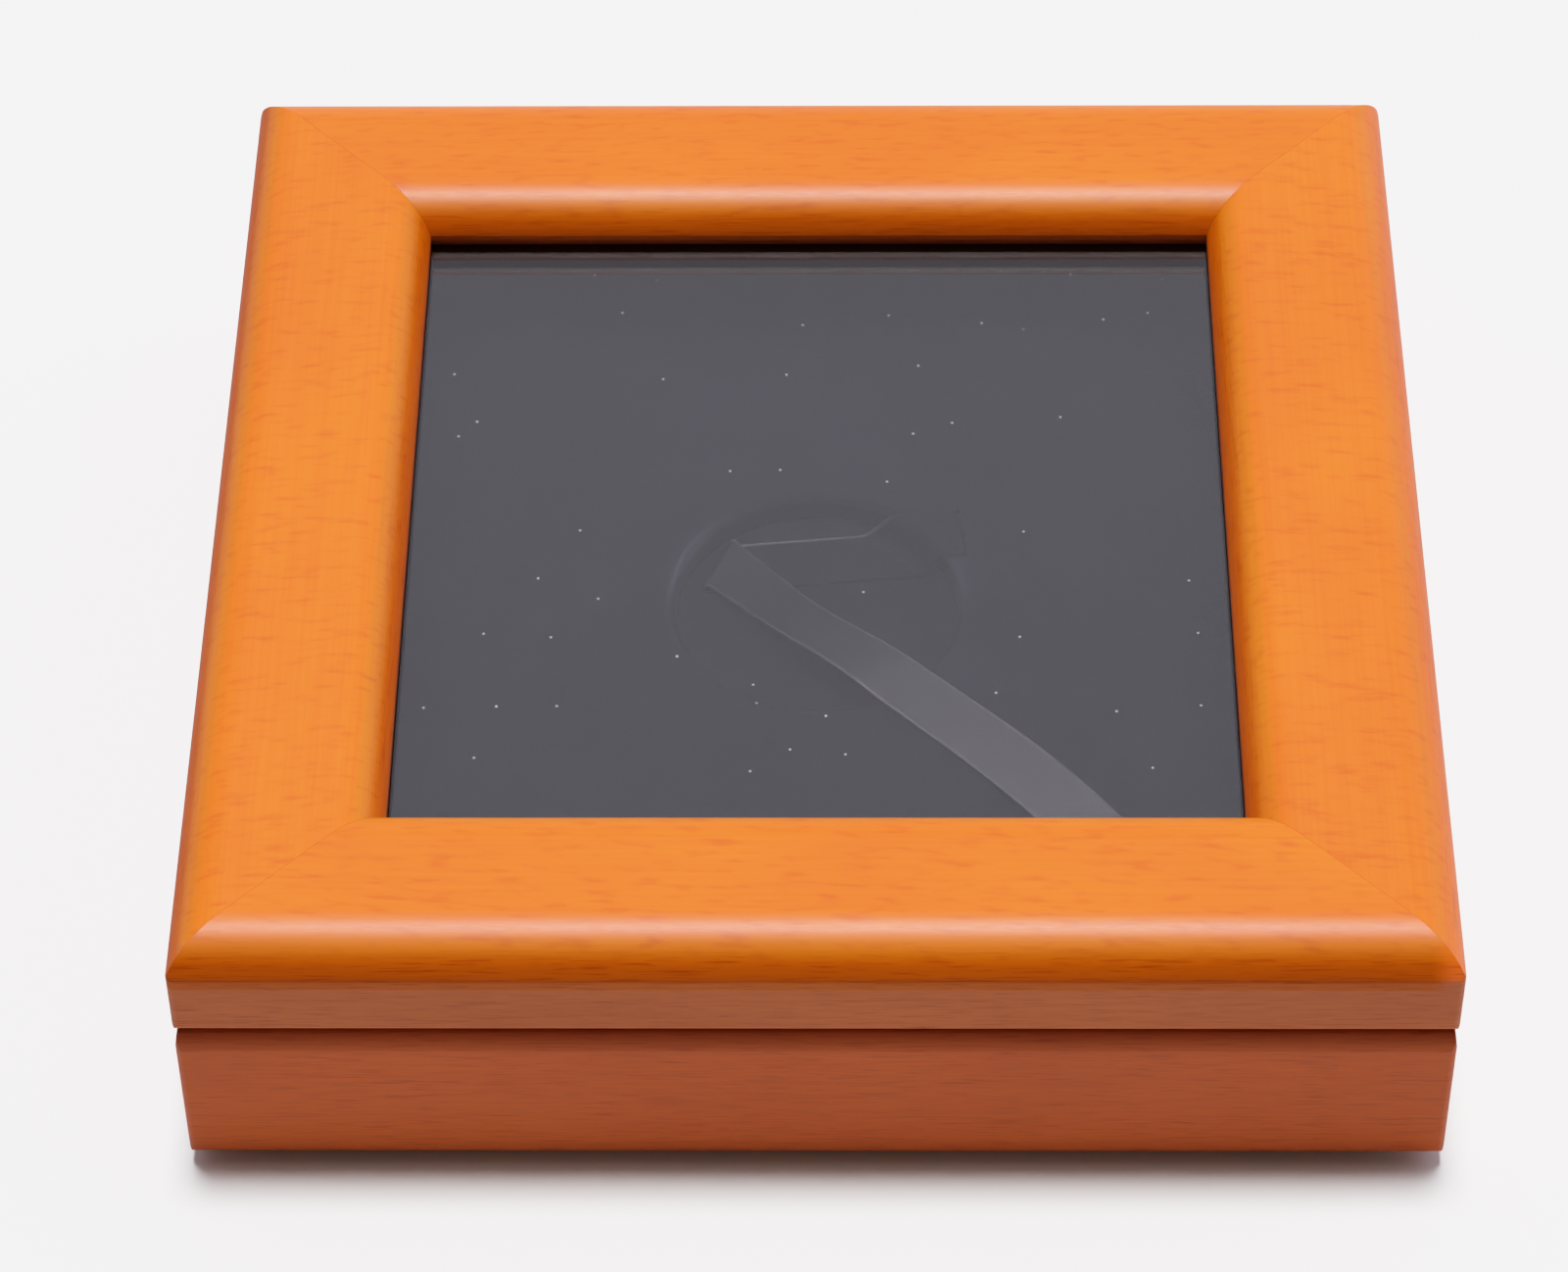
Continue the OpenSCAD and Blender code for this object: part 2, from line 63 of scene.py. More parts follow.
# Where the ribbon comes up, folds and leaves the recess, from its middle and in parts of its radius
RIBBON_SLIT = RECESS_R * np.array((1.01, 0.66))
RIBBON_FOLD = RECESS_R * np.array((-0.68, 0.48))
RIBBON_LEAVE = RECESS_R * np.array((0.56, -0.77))

# Hinge screws, in mm: their heads and slots, a hinge's middle and its screws' distance from it
SCREW_R = 1.9
SLOT_W = 0.5
SLOT_DEPTH = 0.55
HINGE_X = 52.0
SCREW_X = 7.5

# The stain on the lid and on the base; its colour darkened by painted shade on the base's set-back band
# under the lid, paler and bluer on the lid's face where the blue is a painted reflection of the pale
# table, and almost black with painted shade along the glass
LID_STAIN = "#EA5F0A"
BASE_STAIN = "#DD5F13"
BAND_PAINTED_SHADE = "#7C2A03"
FACE_STAIN_AND_REFLECTION = "#D36A2E"
LIP_PAINTED_SHADE = "#712301"

# Painted shade on the wood: four heights in mm, full from the second to the third and fading out to the
# first and the last, and the stain's colour there. On the lid it darkens the lower rounding and turns the
# upper rounding yellower; on the base it darkens the foot towards the table
LID_PAINTED_SHADES = (((38.7, 39.6, 41.2, 44.0), "#AF4804"), ((41.4, 42.8, 43.7, 44.4), "#D46206"))
BASE_PAINTED_SHADES = (((0.5, 1.9, 2.6, 6.5), "#C45110"),)

# Heights in mm over which the wood's look changes: the rays end, the flat top's flecks start, the base's
# painted shade under the lid starts, the face's painted reflection and the painted shade along the glass
# end, and the dull part starts and ends
RAYS_Z = (41.6, 43.6)
FLECKS_Z = (40.0, 42.5)
BAND_Z = (23.1, 29.0)
FACE_REFLECTION_Z = (38.7, 39.6)
LIP_SHADE_Z = (37.8, 39.8)
DULL_FROM_Z = (37.4, 37.8)
DULL_TO_Z = (41.5, 43.6)

# The same sideways: how far from the case's middle the painted shade along the glass ends, and where
# along X the right rail's outer edge starts
LIP_SHADE_OUT = (66.0, 70.0)
RIGHT_EDGE_X = (80.0, 84.0)

# How much the lacquer mirrors on open wood, on the lid's dull face and rounding, and on the set-back band
GLOSS, SLOPE_GLOSS, BAND_GLOSS = 0.2, 0.03, 0.04

# Camera: a perspective fit to the edges of the case in a frame 1600 pixels wide
CAMERA_AT = (0.00397, -0.52292, 0.57828)
CAMERA_YAW = -0.9712
CAMERA_PITCH = 47.1726
CAMERA_ROLL = -0.7241
FOCAL_PX = 5418.5
FRAME_PX = 1600
SENSOR_MM = 36

# Studio: strength of the surround behind the case, of its left and right parts against the middle, of
# the room on the camera's side, and of the backdrop that the camera sees; half the floor in metres
BACK_LIGHT = 1.14
LEFT_LIGHT = 0.4
RIGHT_LIGHT = 1.5
ROOM_LIGHT = 0.15
BACKDROP = 2.6
FLOOR_HALF = 3.0

# The brightest light that the tone curve still tells apart, and the lights where it has a point
FILM_RANGE = 5.0
FILM_POINTS = (0.1, 0.25, 0.5, 0.9, 1.4, 2.0, 2.8, 3.8)


# Small helpers

def linear(code):
    """An sRGB hex colour as linear RGBA: each channel through the sRGB curve."""
    c = np.array([int(code[i:i + 2], 16) for i in (1, 3, 5)]) / 255
    out = np.where(c <= 0.04045, c / 12.92, ((c + 0.055) / 1.055) ** 2.4)
    return (*(float(v) for v in out), 1.0)


def turned_from(stain, there):
    """What each channel of a stain is multiplied by where its colour is another one."""
    return [new / old for new, old in zip(linear(there), linear(stain))]


def smooth(a, b, v):
    """Smooth step from 0 at a to 1 at b."""
    t = np.clip((v - a) / (b - a), 0, 1)
    return t * t * (3 - 2 * t)


def blend(a, b, t):
    """Straight blend from a to b."""
    return a + (b - a) * t


def full_turn(count):
    """Angles evenly round a circle, as one row."""
    return np.linspace(0, 2 * math.pi, count, endpoint=False)[None, :]


def grid_points(*axes):
    """The points of a grid from one array for each axis, which only have to fit together."""
    return np.stack(np.broadcast_arrays(*axes), axis=-1)


def grid_faces(rows, columns, wrap_rows, wrap_columns):
    """The quads of a grid of rows by columns points, closed round either way where asked."""
    i = np.arange(rows if wrap_rows else rows - 1)[:, None]
    j = np.arange(columns if wrap_columns else columns - 1)[None, :]
    i2, j2 = (i + 1) % rows, (j + 1) % columns
    quads = np.stack([a * columns + b for a, b in ((i, j), (i, j2), (i2, j2), (i2, j))], axis=-1)
    return quads.reshape(-1, 4).tolist()


def new_piece(name, points, faces, body, material, uv=None, flat_shaded=False):
    """Makes a piece from points in mm and faces, welds its doubles, turns its faces outwards, and puts
    it on its body. uv holds two numbers a point."""
    mesh = bpy.data.meshes.new(name)
    mesh.from_pydata((np.asarray(points, float).reshape(-1, 3) * MM).tolist(), [], faces)
    if uv is not None:
        corners = np.zeros(len(mesh.loops), np.int32)
        mesh.loops.foreach_get("vertex_index", corners)
        layer = mesh.uv_layers.new(name="UVMap")
        layer.data.foreach_set("uv", np.asarray(uv, np.float32).reshape(-1, 2)[corners].ravel())
    skin = bmesh.new()
    skin.from_mesh(mesh)
    bmesh.ops.remove_doubles(skin, verts=skin.verts, dist=1e-7)
    bmesh.ops.recalc_face_normals(skin, faces=skin.faces)
    skin.to_mesh(mesh)
    skin.free()
    mesh.polygons.foreach_set("use_smooth", np.full(len(mesh.polygons), not flat_shaded))
    piece = bpy.data.objects.new(name, mesh)
    bpy.context.scene.collection.objects.link(piece)
    mesh.materials.append(material)
    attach(piece, body)
    return piece


# Material nodes

# Each kind: Blender's name, its usual settings, the sockets its inputs fill in order, its output
KINDS = {
    "object": ("TexCoord", {}, (), "Object"),
    "uv": ("TexCoord", {}, (), "UV"),
    "direction": ("TexCoord", {}, (), "Generated"),
    "camera ray": ("LightPath", {}, (), "Is Camera Ray"),
    "cells": ("Mapping", {"vector_type": "TEXTURE"}, ("Vector", "Location", "Rotation", "Scale"), 0),
    "noise": ("TexNoise", {"Scale": 1.0}, ("Vector", "Detail", "Roughness", "Distortion"), "Fac"),
    "dots": ("TexVoronoi", {"voronoi_dimensions": "2D", "Scale": 1.0}, ("Vector",), "Distance"),
    "ribs": ("TexWave", {"bands_direction": "Y"}, ("Vector", "Scale", "Distortion"), "Fac"),
    "range": ("MapRange", {"interpolation_type": "SMOOTHSTEP"},
              ("Value", "From Min", "From Max", "To Min", "To Max"), 0),
    "mix": ("Mix", {"data_type": "RGBA"}, (0, 6, 7), 2),
    "tint": ("Mix", {"data_type": "RGBA", "blend_type": "MULTIPLY"}, (0, 6, 7), 2),
    "choose": ("Mix", {"data_type": "FLOAT"}, (0, 2, 3), 0),
    "bump": ("Bump", {}, ("Height", "Distance", "Strength"), 0),
    "join": ("CombineXYZ", {}, ("X", "Y"), 0),
    "length": ("VectorMath", {"operation": "LENGTH"}, (0,), 1),
    **{axis.lower(): ("SeparateXYZ", {}, ("Vector",), axis) for axis in "XYZ"},
    **{work.lower(): ("Math", {"operation": work}, (0, 1), 0)
       for work in ("MULTIPLY", "MAXIMUM", "ABSOLUTE", "PINGPONG")}}


def feed(node, values):
    """Fills a node's sockets: another node's output is linked, anything else is the socket's value."""
    for socket, value in values.items():
        if isinstance(value, bpy.types.NodeSocket):
            node.id_data.links.new(value, node.inputs[socket])
        else:
            node.inputs[socket].default_value = value


def add(tree, kind, *inputs):
    """Adds a node of a kind, with its usual settings, fills its sockets and returns its output."""
    blender_name, settings, sockets, output = KINDS[kind]
    node = tree.nodes.new("ShaderNode" + blender_name)
    for key, value in settings.items():
        if hasattr(node, key):
            setattr(node, key, value)
        else:
            node.inputs[key].default_value = value
    feed(node, dict(zip(sockets, inputs)))
    return node.outputs[output]


def new_material(name, values):
    """A material with a Principled shader, and its plain values set on the shader's own sockets."""
    material = bpy.data.materials.new(name)
    material.use_nodes = True
    shader = material.node_tree.nodes["Principled BSDF"]
    feed(shader, values)
    return material, material.node_tree, shader


def place(tree, cell=(1, 1, 1), turn=0.0, roll=0.0, shift=0.0):
    """Object coordinates in cells of so many mm, turned about Z, then rolled about the grain. shift, in
    metres, moves the pattern along to a stretch that no other piece has."""
    return add(tree, "cells", add(tree, "object"), (shift, 0.37 * shift, 0.71 * shift),
               (math.radians(roll), 0, math.radians(turn)), tuple(size * MM for size in cell))


def specks(tree, cell, size, share, shift):
    """Dots of about size mm, one in a share of cells cell mm wide: lint and dust, 0 to 1."""
    distance = add(tree, "dots", place(tree, (cell, cell, cell), shift=shift))
    chosen = add(tree, "range", distance.node.outputs["Color"], 1 - share, 1 - share + 0.01)
    near = add(tree, "range", distance, 0.4 * size / cell, 0.6 * size / cell, 1, 0)
    return add(tree, "multiply", near, chosen)


def beech_figure(tree, turn, roll, shift, fleck_turn, height, stain):
    """The colour of stained beech: soft clouds and streaks along the grain, its rays as thin dark lines 2
    to 8 mm long on the faces, and as wide soft flecks on the flat top. Each is noise in cells of its
    own size in mm, counted from a first to a full value, and tints the stain."""
    rays_share = 0.85
    rays_here = add(tree, "range", height, *RAYS_Z, rays_share, 0)
    flecks_here = add(tree, "range", height, *FLECKS_Z)
    colour = linear(stain)
    for cell, turned, rolled, moved, detail, first, full, here, tint in (
            ((45, 20, 20), turn, roll, shift + 11, 2.0, 0.30, 0.70, 1.0, "#F5F0F0"),
            ((30, 0.6, 0.6), turn, roll, shift + 7, 3.0, 0.30, 0.75, 1.0, "#F9F3F3"),
            ((4.6, 1.1, 1.5), fleck_turn, 0, shift + 3, 1.5, 0.48, 0.82, flecks_here, "#ECDFE2"),
            ((6.0, 1.0, 0.13), turn, roll, shift, 1.0, 0.56, 0.67, rays_here, "#D7C5C8")):
        figure = add(tree, "noise", place(tree, cell, turned, rolled, moved), detail)
        shown = add(tree, "multiply", add(tree, "range", figure, first, full), here)
        colour = add(tree, "tint", shown, colour, linear(tint))
    return colour


def stained_beech(name, turn, roll, shift, fleck_turn, stain, painted_shades, set_back_band):
    """Beech, moulded and sanded, sprayed with an orange spirit stain and a satin lacquer. Shade is
    painted into the stain over the heights in its list of painted shades, except on the right rail's
    outer edge, which has a fuller coat of lacquer. On the lid, the face below the rounding is painted
    paler and bluer, the blue a painted reflection of the pale table, and painted shade turns the stain
    almost black along
    the glass. The base has neither: painted shade darkens it towards its set-back band under the lid."""
    beech, tree, shader = new_material(name, {"Roughness": 0.41, "IOR": 1.5,
                                              "Specular IOR Level": GLOSS})
    spot = place(tree)
    height = add(tree, "z", spot)
    colour = beech_figure(tree, turn, roll, shift, fleck_turn, height, stain)
    off_edge = add(tree, "range", add(tree, "x", spot), *RIGHT_EDGE_X, 1, 0)
    changes = []
    # Painted shade over these heights: darker stain, and yellower on the lid's upper rounding
    for (start, full, last, end), there in painted_shades:
        above = add(tree, "multiply", add(tree, "range", height, start, full), off_edge)
        below = add(tree, "range", height, last, end, 1, 0)
        changes.append((add(tree, "multiply", above, below), there))
    if set_back_band:
        # Painted shade under the lid on the base's set-back band, which also mirrors less
        band = add(tree, "range", height, *BAND_Z)
        changes.append((band, BAND_PAINTED_SHADE))
        gloss = add(tree, "range", band, 0, 1, GLOSS, BAND_GLOSS)
    else:
        # The lid's face painted paler and bluer below the rounding: the blue is a painted reflection of
        # the pale table
        changes.append((add(tree, "range", height, *FACE_REFLECTION_Z, 1, 0), FACE_STAIN_AND_REFLECTION))
        # Painted shade along the glass: the stain almost black near the lip
        out = add(tree, "maximum", *(add(tree, "absolute", add(tree, axis, spot)) for axis in "xy"))
        lip = add(tree, "multiply", add(tree, "range", out, *LIP_SHADE_OUT, 1, 0),
                  add(tree, "range", height, *LIP_SHADE_Z, 1, 0))
        changes.append((lip, LIP_PAINTED_SHADE))
        above = add(tree, "multiply", add(tree, "range", height, *DULL_FROM_Z), off_edge)
        dull = add(tree, "multiply", above, add(tree, "range", height, *DULL_TO_Z, 1, 0))
        gloss = add(tree, "range", dull, 0, 1, GLOSS, SLOPE_GLOSS)
    for share, there in changes:
        colour = add(tree, "tint", share, colour, turned_from(stain, there))
    pores = add(tree, "noise", place(tree, (2.2, 0.16, 0.16), turn, roll, shift + 5))
    feed(shader, {"Base Color": colour, "Specular IOR Level": gloss,
                  "Roughness": add(tree, "range", pores, 0.3, 0.7, 0.39, 0.43),
                  "Normal": add(tree, "bump", pores, 0.002 * MM, 0.3)})
    return beech


def birch_ply():
    """Thin birch plywood, sawn: pale veneers with darker glue lines, 1.3 mm apart."""
    ply, tree, shader = new_material("birch_plywood_sawn", {"Roughness": 0.6, "IOR": 1.5})
    veneers = add(tree, "z", place(tree, (1000, 1000, 1.3)))
    glue = add(tree, "range", add(tree, "pingpong", veneers, 0.5), 0.0, 0.08, 1.0, 0.0)
    grain = add(tree, "noise", place(tree, (18, 1.2, 1.2)), 3)
    colour = add(tree, "mix", add(tree, "range", grain, 0.3, 0.7), linear("#DCC08F"), linear("#C9A672"))
    feed(shader, {"Base Color": add(tree, "mix", glue, colour, linear("#8A6A40")),
                  "Normal": add(tree, "bump", grain, 0.05 * MM, 0.4)})
    return ply


def black_bead_paint():
    """Softwood bead under brushed satin black enamel: nearly black, faintly streaked along its length."""
    paint, tree, shader = new_material("satin_black_enamel_brushed", {"Roughness": 0.42, "IOR": 1.5})
    brush = add(tree, "noise", place(tree, (22, 22, 0.4)), 3)
    streaks = add(tree, "range", brush, 0.3, 0.7)
    feed(shader, {"Base Color": add(tree, "mix", streaks, linear("#151314"), linear("#211E1F")),
                  "Roughness": add(tree, "range", brush, 0.2, 0.8, 0.36, 0.48),
                  "Normal": add(tree, "bump", brush, 0.02 * MM, 0.5)})
    return paint


def float_glass():
    """Clear float glass with ground edges: smooth, IOR 1.52, a breath of green in its thickness."""
    glass, tree, shader = new_material("clear_float_glass", {
        "Base Color": linear("#F6FAF8"), "Roughness": 0.0, "IOR": 1.52, "Transmission Weight": 1.0})
    haze = add(tree, "noise", place(tree, (35, 35, 35)))
    feed(shader, {"Roughness": add(tree, "range", haze, 0.3, 0.7, 0.0, 0.012)})
    return glass


def black_velvet(name, shift):
    """Black cotton velvet, woven and cut: a deep pile that swallows light, a little violet and paler
    where it is seen along its surface, with soft patches of nap and a few specks of lint. A painted sheen
    lightens it on the left and right of the recess rim, towards its back. Pile and lint are drawn coarser
    than they are, or they wouldn't show."""
    velvet, tree, shader = new_material(name, {
        "Roughness": 0.95, "IOR": 1.4, "Specular IOR Level": 0.05, "Sheen Weight": 0.03,
        "Sheen Roughness": 0.3, "Sheen Tint": linear("#C9C6D6")})
    nap = add(tree, "noise", place(tree, (16, 11, 16), 20, 0, shift))
    pile = add(tree, "noise", place(tree, (0.32, 0.32, 0.32), 0, 0, shift))
    spot = place(tree)
    across, back = add(tree, "x", spot), add(tree, "y", spot)
    out = add(tree, "length", add(tree, "join", across, back))
    rim = add(tree, "multiply", add(tree, "range", out, RECESS_R - 0.3, RECESS_R + 0.3),
              add(tree, "range", out, RECESS_R + 0.9, RECESS_R + 2.2, 1, 0))
    sides = add(tree, "range", add(tree, "absolute", across), 0.6 * RECESS_R, 0.95 * RECESS_R)
    # Painted sheen: the rim lighter on its left and right, towards the back
    rim_sheen = add(tree, "multiply", add(tree, "multiply", rim, sides),
                 add(tree, "range", back, -4, 9))
    colour = add(tree, "mix", add(tree, "range", nap, 0.3, 0.7), linear("#07060B"), linear("#0B0A10"))
    for share, shade in ((add(tree, "range", pile, 0.3, 0.75, 0, 0.4), "#100E15"),
                         (specks(tree, 11, 0.38, 0.42, shift), "#C8C4CA"), (rim_sheen, "#1E1C24")):
        colour = add(tree, "mix", share, colour, linear(shade))
    feed(shader, {"Base Color": colour, "Normal": add(tree, "bump", pile, 0.08 * MM, 0.4)})
    return velvet


def satin_ribbon():
    """Black polyester satin ribbon, woven: floats along its length give a soft streaked gloss on its
    face, with painted shade and a duller gloss near the fold. Its back is dull, and its woven selvedges,
    0.6 mm wide, have a painted glint along them, on the face and on one edge of the back. Its threads are
    drawn 0.25 mm wide and its ribs as far apart, coarser than they are, or they wouldn't show. Across the
    ribbon the UV runs
    0 to 1 over its face and 1 to 2 over its back, and along it the UV is in metres."""
    satin, tree, shader = new_material("black_satin_ribbon_woven", {
        "Roughness": 0.45, "IOR": 1.5, "Specular Tint": linear("#FFF3F8")})
    weave = add(tree, "uv")
    across, along = add(tree, "x", weave), add(tree, "y", weave)
    back = add(tree, "range", across, 0.999, 1.001)
    # Painted shade near the fold, where the ribbon lies in the recess; the gloss is duller there too
    fold_shade = add(tree, "range", along, 0.036, 0.1, 1, 0)
    edge = add(tree, "range", add(tree, "pingpong", across, 0.5), 0.02, 0.075, 1, 0)
    # Painted glint along the selvedges: on the face, weaker near the fold, and on one edge of the back
    face_edge_glint = add(tree, "multiply", add(tree, "range", back, 0, 1, 1, 0),
                    add(tree, "range", fold_shade, 0, 1, 0.9, 0.35))
    back_edge_glint = add(tree, "multiply", add(tree, "range", across, 1.8, 1.9),
                    add(tree, "range", along, 0.010, 0.026))
    selvedge_glint = add(tree, "multiply", edge, add(tree, "maximum", face_edge_glint, back_edge_glint))
    threads = add(tree, "join", add(tree, "multiply", across, 36), add(tree, "multiply", along, 260))
    floats = add(tree, "noise", threads)
    colour = add(tree, "mix", add(tree, "range", floats, 0.25, 0.75), linear("#141216"),
                 linear("#1F1C21"))
    # Painted shade near the fold, the dark back, and the painted glint on the selvedges
    for share, shade in ((fold_shade, "#0B0A0E"), (back, "#0A090E"), (selvedge_glint, "#3A363C")):
        colour = add(tree, "mix", share, colour, linear(shade))
    gloss = add(tree, "multiply", add(tree, "range", back, 0, 1, 0.285, 0.02),
                add(tree, "range", fold_shade, 0, 1, 1, 0.2))
    feed(shader, {"Base Color": colour, "Specular IOR Level": gloss,
                  "Roughness": add(tree, "range", floats, 0.2, 0.8, 0.36, 0.55),
                  "Normal": add(tree, "bump", add(tree, "ribs", weave, 1200, 0.4), 0.03 * MM, 0.4)})
    return satin


def black_felt():
    """Pressed black wool felt: matt, mottled, with a fuzz of loose fibres."""
    felt, tree, shader = new_material("black_wool_felt_pressed", {
        "Roughness": 0.97, "IOR": 1.4, "Specular IOR Level": 0.1, "Sheen Weight": 0.35,
        "Sheen Roughness": 0.6, "Sheen Tint": linear("#B8B4B0")})
    fibre = add(tree, "noise", place(tree, (0.9, 0.25, 0.5), 35), 4, 0.7, 1.5)
    mottle = add(tree, "range", fibre, 0.3, 0.7)
    feed(shader, {"Base Color": add(tree, "mix", mottle, linear("#17171A"), linear("#2B2A2D")),
                  "Normal": add(tree, "bump", fibre, 0.25 * MM, 0.8)})
    return felt


def fibreboard(name, shift):
    """Medium density fibreboard, sawn: matt brown with fine pressed fibres."""
    board, tree, shader = new_material(name, {"Roughness": 0.85, "IOR": 1.5})
    fibre = add(tree, "noise", place(tree, (1.4, 0.9, 0.35), 25, 0, shift), 4, 0.65)
    mottle = add(tree, "range", fibre, 0.3, 0.7)
    feed(shader, {"Base Color": add(tree, "mix", mottle, linear("#8F7653"), linear("#6F583B")),
                  "Normal": add(tree, "bump", fibre, 0.08 * MM, 0.5)})
    return board


def drawn_brass(name, rough, turn):
    """Brass sheet or rod, drawn and tumbled: warm yellow metal with faint lines along its length and
    a little dark tarnish."""
    brass, tree, shader = new_material(name, {"Metallic": 1.0, "Roughness": rough})
    lines = add(tree, "noise", place(tree, (9, 0.12, 0.12), turn), 3)
    stains = add(tree, "noise", place(tree, (3.5, 3.5, 3.5), turn, 0, 0.02), 3)
    tarnish = add(tree, "range", stains, 0.45, 0.8)
    feed(shader, {"Base Color": add(tree, "mix", tarnish, linear("#D8AE5C"), linear("#A87F3C")),
                  "Roughness": add(tree, "range", lines, 0.2, 0.8, rough - 0.06, rough + 0.08),
                  "Normal": add(tree, "bump", lines, 0.01 * MM, 0.4)})
    return brass


# Shapes of the soft pieces and screws

def square_ring(half_w, half_d, corner, angle):
    """Points round a rectangle with rounded corners: a ray at each angle meets the straight sides, and
    where it would meet a corner it meets the corner's arc."""
    c, s = np.cos(angle), np.sin(angle)
    reach = np.minimum(half_w / np.maximum(abs(c), 1e-9), half_d / np.maximum(abs(s), 1e-9))
    cx, cy = (half_w - corner) * np.sign(c), (half_d - corner) * np.sign(s)
    along = cx * c + cy * s
    arc = along + np.sqrt(np.maximum(along ** 2 - cx ** 2 - cy ** 2 + corner ** 2, 0))
    inside = (abs(reach * c) > half_w - corner) & (abs(reach * s) > half_d - corner)
    reach = np.where(inside, arc, reach)
    return reach * c, reach * s


def laid_sheet(name, half_w, half_d, corner, low, high, edge, body, material):
    """A flat sheet with soft edges. Round it runs a rounded rectangle, and from the middle of its
    underside to the middle of its top it runs out, round a half circle of radius edge, and back in."""
    angle = full_turn(160)
    bend = np.radians(np.linspace(-90, 90, 9))
    inward = np.linspace(0.06, 1, 8)
    inset = np.concatenate([inward[::-1], edge / half_w * (1 - np.cos(bend)), inward])[:, None]
    soft_edge = (low + high) / 2 + (high - low) / 2 * np.sin(bend)
    z = np.concatenate([np.full(len(inward), low), soft_edge, np.full(len(inward), high)])[:, None]
    x, y = square_ring(half_w, half_d, corner, angle)
    points = grid_points(x * (1 - inset), y * (1 - inset), z)
    faces = grid_faces(*points.shape[:2], False, True)
    return new_piece(name, points, faces, body, material)


def recessed_velvet(name, half, floor, top, body, material):
    """Velvet drawn over the board: a closed skin that runs from the foot of the recess wall up and
    round its rim, out over the board to the edge, down the side, and back under itself. Each ring
    blends from the circle of the recess to the square of the board as it runs out."""
    angle = full_turn(288)
    bend = np.radians(np.linspace(0, 90, 10))
    # The rounding of the outer edge and the way from rim to edge in mm, and the corners' rounding in
    # parts of the board's half width
    edge_r, board_run, corner = 0.9, 52.0, 0.012
    run = np.concatenate([[0.35, 0.9, 1.7, 2.6], np.linspace(3.6, board_run - 2, 26)])

    def skin(inner, rim, outer, up):
        """Rows of (distance out from the wall, share of the square, height)."""
        wall = [(inner, 0, z) for z in np.linspace(floor, up - rim, 6)[:-1]]
        lip = [(inner + rim * (1 - math.cos(b)), 0, up - rim + rim * math.sin(b)) for b in bend]
        flat = [(inner + rim + r, r / board_run, up) for r in run]
        side = [(None, outer - edge_r * (1 - math.cos(b)), up - edge_r + edge_r * math.sin(b))
                for b in bend[::-1]]
        return wall + lip + flat + side + [(None, outer, floor)]

    rows = skin(RECESS_R, RIM_R, half, top)
    rows += skin(RECESS_R + VELVET_T, RIM_R - VELVET_T, half - VELVET_T, top - VELVET_T)[::-1]
    square = np.hypot(*square_ring(1.0, 1.0, corner, angle[0]))
    reach = np.array([share * square if out is None else
                      blend(out, square * (half - 1.0), share ** 2) for out, share, _ in rows])
    height = np.array([z for _, _, z in rows])[:, None]
    points = grid_points(reach * np.cos(angle), reach * np.sin(angle), height)
    faces = grid_faces(*points.shape[:2], True, True)
    return new_piece(name, points, faces, body, material)


def cut_slit(piece, centre, turn, length, width, low, high):
    """Cuts an upright slot through a closed piece: two half circles joined by straights, along turn."""
    count = 40
    angle = full_turn(count)[0]
    x = (length - width) / 2 * np.sign(np.cos(angle)) + width / 2 * np.cos(angle)
    y = width / 2 * np.sin(angle)
    ring = np.stack([centre[0] + x * math.cos(turn) - y * math.sin(turn),
                     centre[1] + x * math.sin(turn) + y * math.cos(turn)], axis=-1)
    points = np.concatenate([np.column_stack([ring, np.full(count, z)]) for z in (low, high)])
    faces = grid_faces(2, count, False, True) + [list(range(count)), list(range(count, 2 * count))]
    cutter = new_piece("slit_cutter", points, faces, "base", piece.data.materials[0])
    change = piece.modifiers.new("slit", "BOOLEAN")
    change.operation = "DIFFERENCE"
    change.object = cutter
    change.solver = "EXACT"
    shown = piece.evaluated_get(bpy.context.evaluated_depsgraph_get())
    done = bpy.data.meshes.new_from_object(shown)
    piece.modifiers.clear()
    piece.data = done
    bpy.data.objects.remove(cutter)


def heading(start, end):
    """The direction from one point to another, as an angle."""
    return math.atan2(end[1] - start[1], end[0] - start[0])


